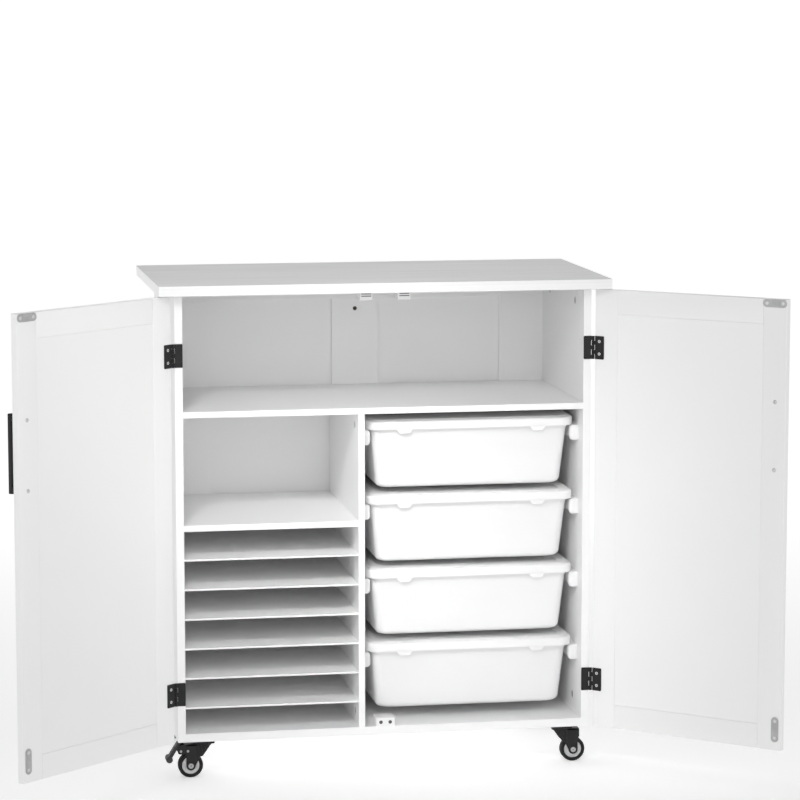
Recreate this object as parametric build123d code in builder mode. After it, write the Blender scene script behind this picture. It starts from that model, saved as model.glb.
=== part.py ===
"""Rolling sewing cabinet: a fixed worktop on a carcass with two doors, shelves, paper slots,
four lidded bins on runners and four swivel casters, two of them braked.

Row frame: X to the right, Y to the back, Z up. X = 0 is the middle of the carcass, Z = 0 is the
floor, and Y = 0 is half way between the open doors' front corners and the worktop's back edge.
The doors are modelled open, as they rest. Lengths are in millimetres.
"""

import os
from math import atan2, cos, degrees, radians, sin

from build123d import *

os.makedirs("parts", exist_ok=True)

# Worktop and carcass
WORKTOP_WIDTH = 864
WORKTOP_DEPTH = 436
WORKTOP_THICKNESS = 20
FRONT_OVERHANG = 35
CARCASS_WIDTH = 800
CARCASS_DEPTH = 372
CARCASS_HEIGHT = 855
CASTER_HEIGHT = 74
BOARD = 15
BOTTOM_THICKNESS = 16
SIDE_RAIL = 42
SIDE_FRONT_STILE = 34
SIDE_REAR_STILE = 40
SIDE_RECESS = 5

# Back
BACK_RAIL = 50
BACK_SIDE_STILE = 90
BACK_CENTRE_STILE = 94
BACK_PANEL_THICKNESS = 5
BACK_PANEL_RECESS = 6
STRAP_HOLE_RADIUS = 4
STRAP_HOLE_DEPTH = 11
STRAP_HOLE_DROP = 19

# Shelves, divider and paper slots
SHELF = 12
UPPER_BAY = 221
MIDDLE_BAY = 204
DIVIDER_X = -45.6
PAPER_SHELVES = 6
PAPER_SHELF = 3.5
PAPER_PITCH = 57
PAPER_SETBACK = 2
GROOVE = 3

# Cam locks that join the boards
CAM_RADIUS = 7.5
CAM_DEPTH = 9
CAM_RECESS = 0.6
CAM_BACKSET = 31
CAM_BOLT_RADIUS = 3
CAM_BOLT_BITE = 10
CAM_ROW_INSET = 76
DIVIDER_CAM_FRONT = 46
DIVIDER_CAM_REAR = 60
DIVIDER_CAM_LOW = 23
DIVIDER_CAM_HIGH = 26

# Doors
DOOR_OPEN = 139
DOOR = 15
DOOR_GAP = 3
DOOR_TOP_GAP = 2
DOOR_MEETING_GAP = 2.5
DOOR_STILE = 48
DOOR_RAIL = 47
DOOR_PANEL = 10
DOOR_PANEL_INSET = 0.4
HAIRLINE = 0.1
PANEL_BOARDS = 5
PANEL_GROOVE_WIDTH = 3
PANEL_GROOVE_DEPTH = 1.5

# Hinges
PIN_OFFSET = 3.2
PIN_RADIUS = 1.5
RUNNING = 0.05
KNUCKLE_RADIUS = 3
KNUCKLE_GAP = 0.3
KNUCKLES = 5
LEAF = 1.35
LEAF_REACH = 18.4
DOOR_LEAF_REACH = 23
HINGE_HEIGHT = 45
HINGE_HEIGHTS = (167.5, 814.5)
HINGE_SCREW_PITCH = 24

# Handles and door catches
HANDLE_CENTRES = 128
HANDLE_LENGTH = 146
HANDLE_WIDTH = 11
HANDLE_BAR = 9
HANDLE_STANDOFF = 21
HANDLE_HEIGHT = 671
HANDLE_INSET = 22
HANDLE_ROUND = 1.5
HANDLE_SCREW_RADIUS = 2
HANDLE_SCREW_SLACK = 0.2
HANDLE_SCREW_HEAD = 1.6
STRIKER_LENGTH = 48
STRIKER_WIDTH = 15
STRIKER = 1.2
STRIKER_SCREW = 16
STRIKER_EDGE = 0.5
LOWER_STRIKER_EDGE = 12
LOWER_STRIKER_HEIGHT = 114
CATCH_DEPTH = 34
CATCH_REVEAL = 1.0
UPPER_CATCH_X = 36.5
UPPER_CATCH_WIDTH = 25
UPPER_CATCH_HEIGHT = 16
LOWER_CATCH_WIDTH = 36
MAGNET_PROUD = 0.4
MAGNET_STRIP = (19, 1.6)
MAGNET_STRIP_DROPS = (8.5, 4.2)
MAGNET_STUD_RADIUS = 3.5
MAGNET_STUD_X = 9

# Bins and runners
BIN_COUNT = 4
BIN_PITCH = 144
BIN_GAP = 18
BIN_HEIGHT = 133
BIN_SIDE_GAP = 9.3
BIN_SETBACK = 30
BIN_DEPTH = 317
BIN_CORNER = 28
BIN_WALL = 2.2
LID_SKIRT = 18
LID_TOP = 2.5
LID_BORDER = 22
LID_DISH = 2
LID_ROUND = 2
LID_CLEARANCE = 0.6
TAB_WIDTH = 29
TAB_DROP = 7.5
TAB_ROUND = 6
TAB_POSITION = 0.32
RIM_OVERHANG = 9
RIM_LIFT = 0.4
TUB_NARROWING = 14
TUB_FOOT_RADIUS = 12
RUNNER_WIDTH = 16.8
RUNNER_HEIGHT = 30
RUNNER_SETBACK = 36
RUNNER_ROUND = 8
RUNNER_END_ROUND = 2

# Casters
CASTER_X = 350
CASTER_INSET = 28
CASTER_TRAIL = 24
CASTER_PLATE = (42, 46)
CASTER_PLATE_THICKNESS = 2.5
CUP_RADIUS = 13
CUP_DEPTH = 5.5
PLATE_LIP = 1.5
PLATE_BOLTS = (13, 15)
PLATE_HOLE_RADIUS = 2
BOLT_RADIUS = 1.9
BOLT_HEAD_RADIUS = 3.6
BOLT_HEAD = 1.8
BOLT_BITE = 11
WHEEL_RADIUS = 24
WHEEL_WIDTH = 18
TYRE_ROUND = 3.5
HUB_RADIUS = 17
HUB_BOSS_RADIUS = 10
HUB_RECESS = 1
AXLE_RADIUS = 4
AXLE_HEAD_RADIUS = 5.3
AXLE_HEAD = 2
FORK_LEG = 2.5
FORK_SIDE_GAP = 0.8
FORK_WEB_TOP = 65.5
FORK_END_RADIUS = 9
FORK_HEEL = 15
FORK_HEEL_FOOT = (2, 41)
FORK_TAIL = 12
FORK_DISC_RADIUS = 17
KING_PIN_RADIUS = 4
KING_PIN_HEAD_RADIUS = 7
BRAKE_PIVOT = (19, 29)
BRAKE_PIN_RADIUS = 2
BRAKE_TAIL = 6
BRAKE_HUB_RADIUS = 4
PEDAL_START = (4, 13)
PEDAL_END = (22, -16)
PEDAL_THICKNESS = 8
PEDAL_BULB_RADIUS = 6.5
PEDAL_ARM = 14

# Fasteners
SCREW_HEAD_RADIUS = 3.2
SCREW_SHANK_RADIUS = 1.7
SCREW_HEAD = 1.25
SCREW_LENGTH = 12
DOOR_SCREW_LENGTH = 11

# Derived levels and planes
underside = CASTER_HEIGHT
floor_top = underside + BOTTOM_THICKNESS
carcass_top = underside + CARCASS_HEIGHT
total_height = carcass_top + WORKTOP_THICKNESS
upper_shelf_top = carcass_top - UPPER_BAY
upper_shelf_bottom = upper_shelf_top - SHELF
left_shelf_top = upper_shelf_bottom - MIDDLE_BAY
left_shelf_bottom = left_shelf_top - SHELF
half_width = CARCASS_WIDTH / 2
wall_x = half_width - BOARD
divider_left = DIVIDER_X - SHELF / 2
divider_right = DIVIDER_X + SHELF / 2
door_angle = radians(DOOR_OPEN)
pin_x = half_width + PIN_OFFSET
door_width = half_width - DOOR_MEETING_GAP / 2
door_free_edge = PIN_OFFSET + door_width
door_inner = DOOR_GAP / 2
door_outer = door_inner + DOOR
door_bottom = underside
door_top = carcass_top - DOOR_TOP_GAP

# The carcass front lies where the open doors and the worktop's back edge balance about Y = 0
door_reach = DOOR_GAP / 2 + door_free_edge * sin(door_angle) + door_inner * cos(door_angle)
front_y = (door_reach - WORKTOP_DEPTH + FRONT_OVERHANG) / 2
pin_y = front_y - DOOR_GAP / 2
back_y = front_y + CARCASS_DEPTH
back_front_y = back_y - BOARD
bay = (front_y, back_front_y)


def save(piece, name):
    """Labels a finished sub-part and writes its STEP file."""
    piece.part.label = name
    export_step(piece.part, f"parts/{name}.step")


def add_board(x, y, z, plane=Plane.XY, mode=Mode.ADD):
    """A square-edged board, given by its limits along the plane's three directions."""
    with BuildSketch(plane.offset(min(z))) as outline:
        with Locations((sum(x) / 2, sum(y) / 2)):
            Rectangle(abs(x[1] - x[0]), abs(y[1] - y[0]))
    extrude(to_extrude=outline.sketch, amount=abs(z[1] - z[0]), mode=mode)


def add_rod(radius, z, plane=Plane.XY, at=((0, 0),), mode=Mode.ADD):
    """Round bars along a plane's normal, between two heights, one at each point."""
    with BuildSketch(plane.offset(min(z))) as outline:
        with Locations(*at):
            Circle(radius)
    extrude(to_extrude=outline.sketch, amount=abs(z[1] - z[0]), mode=mode)


def add_screw(plane, length=SCREW_LENGTH):
    """A countersunk screw whose flat head lies in the plane, facing along its normal."""
    with Locations(plane.location):
        Cone(
            SCREW_SHANK_RADIUS,
            SCREW_HEAD_RADIUS,
            SCREW_HEAD,
            align=(Align.CENTER, Align.CENTER, Align.MAX),
        )
    add_rod(SCREW_SHANK_RADIUS, (-SCREW_HEAD - length, -SCREW_HEAD), plane)


def cut_screw_seat(plane, depth):
    """A countersunk clearance hole for such a screw, through a sheet as thick as depth."""
    slack = 2 * RUNNING
    with Locations(plane.location):
        Cone(
            SCREW_SHANK_RADIUS + slack,
            SCREW_HEAD_RADIUS + slack,
            depth,
            align=(Align.CENTER, Align.CENTER, Align.MAX),
            mode=Mode.SUBTRACT,
        )


def door_plane(side):
    """Plan of an open door: x runs from the hinge pin to the free edge."""
    return Plane(
        origin=(side * pin_x, pin_y, 0),
        x_dir=(-side * cos(door_angle), -sin(door_angle), 0),
        z_dir=(0, 0, 1),
    )


def door_face(side, along, outward, z, facing):
    """Plane across a door at rest. Its normal points out of the room side for facing = 1,
    and into the cabinet side for facing = -1."""
    normal = Vector(side * sin(door_angle), -cos(door_angle), 0)
    position = Vector(side * pin_x, pin_y, z)
    position += Vector(-side * cos(door_angle), -sin(door_angle), 0) * along
    position += normal * outward
    return Plane(origin=position, x_dir=(0, 0, 1), z_dir=normal * facing)


def front_face(x, y, z):
    """Plane that faces the front, with its x direction upwards."""
    return Plane(origin=(x, y, z), x_dir=(0, 0, 1), z_dir=(0, -1, 0))


# ---------------------------------------------------------------- worktop and carcass
with BuildPart() as worktop:
    add_board(
        (-WORKTOP_WIDTH / 2, WORKTOP_WIDTH / 2),
        (front_y - FRONT_OVERHANG, front_y - FRONT_OVERHANG + WORKTOP_DEPTH),
        (carcass_top, total_height),
    )
    fillet(worktop.edges(), 1.2)
save(worktop, "worktop")

with BuildPart() as bottom_panel:
    add_board((-half_width, half_width), (front_y, back_y), (underside, floor_top))
save(bottom_panel, "bottom_panel")

paper_levels = [left_shelf_bottom - PAPER_PITCH * (i + 1) for i in range(PAPER_SHELVES)]
cam_rows = (front_y + CAM_ROW_INSET, back_y - CAM_ROW_INSET)
cam_heights = (floor_top + CAM_BACKSET, carcass_top - CAM_BACKSET)
divider_cam_rows = (front_y + DIVIDER_CAM_FRONT, back_y - DIVIDER_CAM_REAR)
divider_cam_heights = (floor_top + DIVIDER_CAM_LOW, upper_shelf_bottom - DIVIDER_CAM_HIGH)


def inner_face(side, y, z):
    """Plane on a side panel's inner face, looking into the cabinet, with x upwards."""
    return Plane(origin=(side * wall_x, y, z), x_dir=(0, 0, 1), z_dir=(-side, 0, 0))


def divider_face(y, z):
    """Plane on the divider's left face, with x upwards."""
    return Plane(origin=(divider_left, y, z), x_dir=(0, 0, 1), z_dir=(-1, 0, 0))


cam_sites = [inner_face(side, y, z) for side in (-1, 1) for y in cam_rows for z in cam_heights]
divider_sites = [divider_face(y, z) for y in divider_cam_rows for z in divider_cam_heights]


def cut_paper_grooves(x):
    """Housings for the thin shelves in the board face between these two X positions."""
    for level in paper_levels:
        add_board(
            x,
            (front_y + PAPER_SETBACK, back_front_y),
            (level, level + PAPER_SHELF),
            mode=Mode.SUBTRACT,
        )


for side, name in ((-1, "left_side_panel"), (1, "right_side_panel")):
    with BuildPart() as side_panel:
        add_board(
            (side * wall_x, side * half_width),
            (front_y, back_y),
            (floor_top, carcass_top),
        )
        add_board(
            (side * (half_width - SIDE_RECESS), side * half_width),
            (front_y + SIDE_FRONT_STILE, back_y - SIDE_REAR_STILE),
            (floor_top + SIDE_RAIL, carcass_top - SIDE_RAIL),
            mode=Mode.SUBTRACT,
        )
        for site in cam_sites:
            add_rod(CAM_RADIUS, (-CAM_DEPTH, 0), site, mode=Mode.SUBTRACT)
        if side < 0:
            cut_paper_grooves((-wall_x - GROOVE, -wall_x))
    save(side_panel, name)

with BuildPart() as back_top_rail:
    add_board((-wall_x, wall_x), (back_front_y, back_y), (carcass_top - BACK_RAIL, carcass_top))
save(back_top_rail, "back_top_rail")

stile_limits = (
    (-wall_x, -wall_x + BACK_SIDE_STILE),
    (-BACK_CENTRE_STILE / 2, BACK_CENTRE_STILE / 2),
    (wall_x - BACK_SIDE_STILE, wall_x),
)
back_levels = (floor_top, carcass_top - BACK_RAIL)
with BuildPart() as back_stiles:
    for limits in stile_limits:
        add_board(limits, (back_front_y, back_y), back_levels)
    strap_hole = front_face(0, back_front_y, carcass_top - BACK_RAIL - STRAP_HOLE_DROP)
    add_rod(STRAP_HOLE_RADIUS, (-STRAP_HOLE_DEPTH, 0), strap_hole, mode=Mode.SUBTRACT)
save(back_stiles, "back_stiles")

panel_front = back_front_y + BACK_PANEL_RECESS
for name, left, right in (("left", 0, 1), ("right", 1, 2)):
    with BuildPart() as back_panel:
        add_board(
            (stile_limits[left][1], stile_limits[right][0]),
            (panel_front, panel_front + BACK_PANEL_THICKNESS),
            back_levels,
        )
    save(back_panel, f"back_panel_{name}")

# ---------------------------------------------------------------- shelves and divider
with BuildPart() as upper_shelf:
    add_board((-wall_x, wall_x), bay, (upper_shelf_bottom, upper_shelf_top))
save(upper_shelf, "upper_shelf")

with BuildPart() as divider:
    add_board((divider_left, divider_right), bay, (floor_top, upper_shelf_bottom))
    for site in divider_sites:
        add_rod(CAM_RADIUS, (-CAM_DEPTH, 0), site, mode=Mode.SUBTRACT)
    cut_paper_grooves((divider_left, divider_left + GROOVE))
save(divider, "divider")

with BuildPart() as left_shelf:
    add_board((-wall_x, divider_left), bay, (left_shelf_bottom, left_shelf_top))
save(left_shelf, "left_shelf")

for number, level in enumerate(paper_levels, start=1):
    with BuildPart() as paper_shelf:
        add_board(
            (-wall_x - GROOVE, divider_left + GROOVE),
            (front_y + PAPER_SETBACK, back_front_y),
            (level, level + PAPER_SHELF),
        )
    save(paper_shelf, f"paper_shelf_{number}")

# Each cam is a disc in its bore, and its bolt runs from the disc into the board that it pulls in
with BuildPart() as cam_locks:
    for site in cam_sites + divider_sites:
        cam_z = site.origin.Z
        direction = 1 if cam_z > (floor_top + upper_shelf_bottom) / 2 else -1
        joint_z = floor_top if direction < 0 else carcass_top
        if site in divider_sites and direction > 0:
            joint_z = upper_shelf_bottom
        add_rod(CAM_RADIUS - RUNNING, (-CAM_DEPTH, -CAM_RECESS), site)
        centre = site.origin - site.z_dir * CAM_DEPTH / 2
        bolt_axis = Plane(origin=(centre.X, centre.Y, cam_z), z_dir=(0, 0, direction))
        reach = abs(joint_z - cam_z) + CAM_BOLT_BITE
        add_rod(CAM_BOLT_RADIUS, (CAM_RADIUS + HAIRLINE, reach), bolt_axis)
save(cam_locks, "cam_locks")

# ---------------------------------------------------------------- magnetic catches
catch_front = pin_y - door_inner + STRIKER + CATCH_REVEAL
upper_catch_z = (carcass_top - UPPER_CATCH_HEIGHT, carcass_top)
lower_catch_z = (floor_top, floor_top + UPPER_CATCH_HEIGHT)
with BuildPart() as magnetic_catches:
    for side in (-1, 1):
        centre = side * UPPER_CATCH_X
        limits = (centre - UPPER_CATCH_WIDTH / 2, centre + UPPER_CATCH_WIDTH / 2)
        add_board(limits, (catch_front, catch_front + CATCH_DEPTH), upper_catch_z)
    add_board(
        (-LOWER_CATCH_WIDTH / 2, LOWER_CATCH_WIDTH / 2),
        (catch_front, catch_front + CATCH_DEPTH),
        lower_catch_z,
    )
save(magnetic_catches, "magnetic_catches")

with BuildPart() as catch_magnets:
    for side in (-1, 1):
        for drop in MAGNET_STRIP_DROPS:
            x = side * UPPER_CATCH_X
            strip_z = carcass_top - drop
            add_board(
                (x - MAGNET_STRIP[0] / 2, x + MAGNET_STRIP[0] / 2),
                (catch_front - MAGNET_PROUD, catch_front),
                (strip_z - MAGNET_STRIP[1] / 2, strip_z + MAGNET_STRIP[1] / 2),
            )
        stud_z = floor_top + UPPER_CATCH_HEIGHT / 2
        stud = front_face(side * MAGNET_STUD_X, catch_front, stud_z)
        add_rod(MAGNET_STUD_RADIUS, (0, MAGNET_PROUD), stud)
save(catch_magnets, "catch_magnets")

# ---------------------------------------------------------------- hinges
knuckle_height = HINGE_HEIGHT / KNUCKLES


def add_hinge_leaf(plane, flip, centre_z, reach, first):
    """Half a butt hinge about the plane's origin. x runs away from the pin, and the leaf
    lies on the side of the pin that flip names. Its knuckles are every second one from first."""
    bottom = centre_z - HINGE_HEIGHT / 2
    near = DOOR_GAP / 2 - LEAF
    leaf_y = (flip * near, flip * DOOR_GAP / 2)
    add_board(
        (KNUCKLE_RADIUS + 2 * KNUCKLE_GAP, reach),
        leaf_y,
        (bottom, bottom + HINGE_HEIGHT),
        plane,
    )
    for index in range(first, KNUCKLES, 2):
        z = bottom + index * knuckle_height
        levels = (z + KNUCKLE_GAP / 2, z + knuckle_height - KNUCKLE_GAP / 2)
        add_rod(KNUCKLE_RADIUS, levels, plane)
        add_board((0, reach / 2), leaf_y, levels, plane)
        add_rod(PIN_RADIUS + RUNNING, levels, plane, mode=Mode.SUBTRACT)


def carcass_hinge_plane(side):
    """Plan of a hinge's fixed half: x runs from the pin towards the middle."""
    return Plane(origin=(side * pin_x, pin_y, 0), x_dir=(-side, 0, 0), z_dir=(0, 0, 1))


def screw_heights(centre_z):
    return (centre_z - HINGE_SCREW_PITCH / 2, centre_z + HINGE_SCREW_PITCH / 2)


carcass_screw_x = half_width - BOARD / 2
carcass_screw_faces = [
    front_face(side * carcass_screw_x, front_y - LEAF, z)
    for side in (-1, 1)
    for centre_z in HINGE_HEIGHTS
    for z in screw_heights(centre_z)
]
with BuildPart() as carcass_hinge_leaves:
    for side in (-1, 1):
        for centre_z in HINGE_HEIGHTS:
            add_hinge_leaf(carcass_hinge_plane(side), -side, centre_z, LEAF_REACH, 0)
    for face in carcass_screw_faces:
        cut_screw_seat(face, LEAF)
save(carcass_hinge_leaves, "carcass_hinge_leaves")

with BuildPart() as hinge_pins:
    for centre_z in HINGE_HEIGHTS:
        ends = (centre_z - HINGE_HEIGHT / 2, centre_z + HINGE_HEIGHT / 2)
        add_rod(PIN_RADIUS, ends, at=((-pin_x, pin_y), (pin_x, pin_y)))
save(hinge_pins, "hinge_pins")

with BuildPart() as hinge_screws:
    for face in carcass_screw_faces:
        add_screw(face)
save(hinge_screws, "hinge_screws")

# ---------------------------------------------------------------- doors
striker_along = door_free_edge - STRIKER_EDGE - STRIKER_LENGTH / 2
striker_z = door_top - STRIKER_EDGE - STRIKER_WIDTH / 2
lower_striker_along = door_free_edge - LOWER_STRIKER_EDGE
handle_along = door_free_edge - HANDLE_INSET
handle_ends = (HANDLE_HEIGHT - HANDLE_CENTRES / 2, HANDLE_HEIGHT + HANDLE_CENTRES / 2)
door_screw_along = (PIN_OFFSET + DOOR_LEAF_REACH) / 2
striker_face = door_inner - STRIKER
striker_sites = (
    (striker_along - STRIKER_SCREW, striker_z),
    (striker_along + STRIKER_SCREW, striker_z),
    (lower_striker_along, LOWER_STRIKER_HEIGHT - STRIKER_SCREW),
    (lower_striker_along, LOWER_STRIKER_HEIGHT + STRIKER_SCREW),
)

for side, hand in ((-1, "left"), (1, "right")):
    plan = door_plane(side)
    thickness = (side * door_inner, side * door_outer)
    inner_stile = PIN_OFFSET + DOOR_STILE
    outer_stile = door_free_edge - DOOR_STILE
    panel_z = (door_bottom + DOOR_RAIL, door_top - DOOR_RAIL)

    with BuildPart() as door_frame:
        add_board((PIN_OFFSET, inner_stile), thickness, (door_bottom, door_top), plan)
        add_board((outer_stile, door_free_edge), thickness, (door_bottom, door_top), plan)
        rail = (inner_stile + HAIRLINE, outer_stile - HAIRLINE)
        add_board(rail, thickness, (door_bottom, panel_z[0]), plan)
        add_board(rail, thickness, (panel_z[1], door_top), plan)
        for z in handle_ends:
            face = door_face(side, handle_along, door_inner, z, 1)
            hole = HANDLE_SCREW_RADIUS + HANDLE_SCREW_SLACK
            add_rod(hole, (0, DOOR), face, mode=Mode.SUBTRACT)
    save(door_frame, f"{hand}_door_frame")

    panel_inner = door_inner + DOOR_PANEL_INSET
    panel_outer = panel_inner + DOOR_PANEL
    board_width = (outer_stile - inner_stile) / PANEL_BOARDS
    with BuildPart() as door_panel:
        add_board(
            (inner_stile, outer_stile),
            (side * panel_inner, side * panel_outer),
            panel_z,
            plan,
        )
        for index in range(1, PANEL_BOARDS):
            groove = inner_stile + index * board_width
            add_board(
                (groove - PANEL_GROOVE_WIDTH / 2, groove + PANEL_GROOVE_WIDTH / 2),
                (side * (panel_outer - PANEL_GROOVE_DEPTH), side * panel_outer),
                panel_z,
                plan,
                mode=Mode.SUBTRACT,
            )
    save(door_panel, f"{hand}_door_panel")

    leaf_faces = [
        door_face(side, door_screw_along, door_inner - LEAF, z, -1)
        for centre_z in HINGE_HEIGHTS
        for z in screw_heights(centre_z)
    ]
    with BuildPart() as door_hinge_leaves:
        for centre_z in HINGE_HEIGHTS:
            add_hinge_leaf(plan, side, centre_z, DOOR_LEAF_REACH, 1)
        for face in leaf_faces:
            cut_screw_seat(face, LEAF)
    save(door_hinge_leaves, f"{hand}_door_hinge_leaves")

    with BuildPart() as handle:
        bar = (handle_along - HANDLE_WIDTH / 2, handle_along + HANDLE_WIDTH / 2)
        grip = door_outer + HANDLE_STANDOFF
        add_board(
            bar,
            (side * grip, side * (grip + HANDLE_BAR)),
            (HANDLE_HEIGHT - HANDLE_LENGTH / 2, HANDLE_HEIGHT + HANDLE_LENGTH / 2),
            plan,
        )
        for z in handle_ends:
            foot = (z - HANDLE_BAR / 2, z + HANDLE_BAR / 2)
            add_board(bar, (side * door_outer, side * grip), foot, plan)
        fillet(handle.edges().filter_by(Axis.Z), HANDLE_ROUND)
        for z in handle_ends:
            face = door_face(side, handle_along, door_outer, z, 1)
            add_rod(HANDLE_SCREW_RADIUS, (0, HANDLE_STANDOFF), face, mode=Mode.SUBTRACT)
    save(handle, f"{hand}_handle")

    with BuildPart() as strikers:
        flat = door_face(side, striker_along, door_inner, striker_z, -1)
        upright = door_face(side, lower_striker_along, door_inner, LOWER_STRIKER_HEIGHT, -1)
        for face, turn in ((flat, 90), (upright, 0)):
            with BuildSketch(face) as outline:
                SlotOverall(STRIKER_LENGTH, STRIKER_WIDTH, rotation=turn)
            extrude(to_extrude=outline.sketch, amount=STRIKER)
        for along, z in striker_sites:
            cut_screw_seat(door_face(side, along, striker_face, z, -1), STRIKER)
    save(strikers, f"{hand}_striker_plates")

    with BuildPart() as door_screws:
        for face in leaf_faces:
            add_screw(face, DOOR_SCREW_LENGTH)
        for along, z in striker_sites:
            add_screw(door_face(side, along, striker_face, z, -1), DOOR_SCREW_LENGTH)
        for z in handle_ends:
            face = door_face(side, handle_along, door_inner, z, 1)
            add_rod(2 * HANDLE_SCREW_RADIUS, (-HANDLE_SCREW_HEAD, 0), face)
            add_rod(HANDLE_SCREW_RADIUS - RUNNING, (0, DOOR + HANDLE_STANDOFF / 2), face)
    save(door_screws, f"{hand}_door_screws")

# ---------------------------------------------------------------- bins, lids and runners
bin_x = (divider_right + wall_x) / 2
bin_width = wall_x - divider_right - 2 * BIN_SIDE_GAP
bin_y = front_y + BIN_SETBACK + BIN_DEPTH / 2
lid_tops = [upper_shelf_bottom - BIN_GAP - i * BIN_PITCH for i in range(BIN_COUNT)]


def bin_outline(z, inset):
    """Rounded rectangle of the bins' plan at a height, set in from the lid's outer edge."""
    with BuildSketch(Plane.XY.offset(z)) as outline:
        with Locations((bin_x, bin_y)):
            RectangleRounded(
                bin_width - 2 * inset,
                BIN_DEPTH - 2 * inset,
                BIN_CORNER - min(inset, BIN_CORNER / 3),
            )
    return outline.sketch


def tub_sections(bottom, top, inset):
    """The tub's plan at its narrow foot and at its mouth."""
    return [bin_outline(bottom, inset + TUB_NARROWING), bin_outline(top, inset)]


for number, lid_top in enumerate(lid_tops, start=1):
    skirt_bottom = lid_top - LID_SKIRT
    lid_plate_bottom = lid_top - LID_TOP - LID_DISH

    with BuildPart() as lid:
        extrude(bin_outline(skirt_bottom, 0), LID_SKIRT)
        fillet(lid.edges().group_by(Axis.Z)[-1], LID_ROUND)
        extrude(
            bin_outline(skirt_bottom, BIN_WALL),
            lid_plate_bottom - skirt_bottom,
            mode=Mode.SUBTRACT,
        )
        border = bin_outline(lid_plate_bottom, BIN_WALL)
        border -= bin_outline(lid_plate_bottom, LID_BORDER - LID_TOP)
        extrude(border, LID_DISH, mode=Mode.SUBTRACT)
        extrude(bin_outline(lid_top - LID_DISH, LID_BORDER), LID_DISH, mode=Mode.SUBTRACT)
        for end in (-1, 1):
            edge_y = bin_y + end * BIN_DEPTH / 2
            for hand in (-1, 1):
                tab_x = bin_x + hand * TAB_POSITION * bin_width
                add_board(
                    (tab_x - TAB_WIDTH / 2, tab_x + TAB_WIDTH / 2),
                    (edge_y - end * BIN_WALL, edge_y),
                    (skirt_bottom - TAB_DROP, skirt_bottom),
                )
        tab_corners = lid.edges().filter_by(Axis.Y).group_by(Axis.Z)[0]
        fillet(tab_corners, TAB_ROUND)
    save(lid, f"bin_{number}_lid")

    tub_bottom = lid_top - BIN_HEIGHT
    rim_top = lid_top - LID_TOP - LID_DISH - RIM_LIFT
    rim_bottom = skirt_bottom + RIM_LIFT
    rim_inset = BIN_WALL + LID_CLEARANCE
    with BuildPart() as cavity:
        loft(tub_sections(tub_bottom + BIN_WALL, rim_top, RIM_OVERHANG + BIN_WALL), ruled=True)
        fillet(cavity.edges().group_by(Axis.Z)[0], TUB_FOOT_RADIUS - BIN_WALL)

    with BuildPart() as tub:
        loft(tub_sections(tub_bottom, rim_top, RIM_OVERHANG), ruled=True)
        fillet(tub.edges().group_by(Axis.Z)[0], TUB_FOOT_RADIUS)
        add(cavity.part, mode=Mode.SUBTRACT)
        rim = bin_outline(rim_bottom, rim_inset)
        extrude(rim - bin_outline(rim_bottom, rim_inset + BIN_WALL), rim_top - rim_bottom)
        flange = bin_outline(rim_top - BIN_WALL, rim_inset)
        extrude(flange - bin_outline(rim_top - BIN_WALL, RIM_OVERHANG + 1), BIN_WALL)
    save(tub, f"bin_{number}_tub")

with BuildPart() as bin_runners:
    for lid_top in lid_tops:
        runner_top = lid_top - LID_SKIRT
        for wall, hand in ((divider_right, 1), (wall_x, -1)):
            centre_x = wall + hand * RUNNER_WIDTH / 2
            start = Plane.XZ.offset(-(front_y + RUNNER_SETBACK))
            with BuildSketch(start) as profile:
                with Locations((centre_x, runner_top - RUNNER_HEIGHT / 2)):
                    Rectangle(RUNNER_WIDTH, RUNNER_HEIGHT)
                free_x = wall + hand * RUNNER_WIDTH
                free_corners = profile.vertices().filter_by_position(
                    Axis.X, free_x - HAIRLINE, free_x + HAIRLINE
                )
                fillet(free_corners, RUNNER_ROUND)
            extrude(
                to_extrude=profile.sketch,
                amount=back_front_y - front_y - RUNNER_SETBACK,
                dir=(0, 1, 0),
            )
    front_edges = bin_runners.faces().filter_by(Axis.Y).group_by(Axis.Y)[0].edges()
    fillet(front_edges.filter_by(GeomType.CIRCLE), RUNNER_END_ROUND)
save(bin_runners, "bin_runners")

# ---------------------------------------------------------------- casters
caster_y = {"front": front_y + CASTER_INSET, "rear": back_y - CASTER_INSET}
plate_bottom = underside - CASTER_PLATE_THICKNESS
cup_bottom = underside - CUP_DEPTH
bolt_spots = [(x * PLATE_BOLTS[0], y * PLATE_BOLTS[1]) for x in (-1, 1) for y in (-1, 1)]
fork_inner = WHEEL_WIDTH / 2 + FORK_SIDE_GAP
fork_outer = fork_inner + FORK_LEG


def caster_plane(side, row):
    """Plan of a caster about its king pin: x runs along its trail, out of the cabinet."""
    return Plane(origin=(side * CASTER_X, caster_y[row], 0), x_dir=(side, 0, 0), z_dir=(0, 0, 1))


def axle_plane(plane):
    """Plane across the wheel's axle, at the middle of the wheel."""
    centre = plane.from_local_coords(Vector(CASTER_TRAIL, 0, WHEEL_RADIUS))
    return Plane(origin=centre, x_dir=plane.x_dir, z_dir=-plane.y_dir)


caster_sites = [
    (f"{row}_{hand}", caster_plane(side, row))
    for row in ("front", "rear")
    for side, hand in ((-1, "left"), (1, "right"))
]

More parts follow.
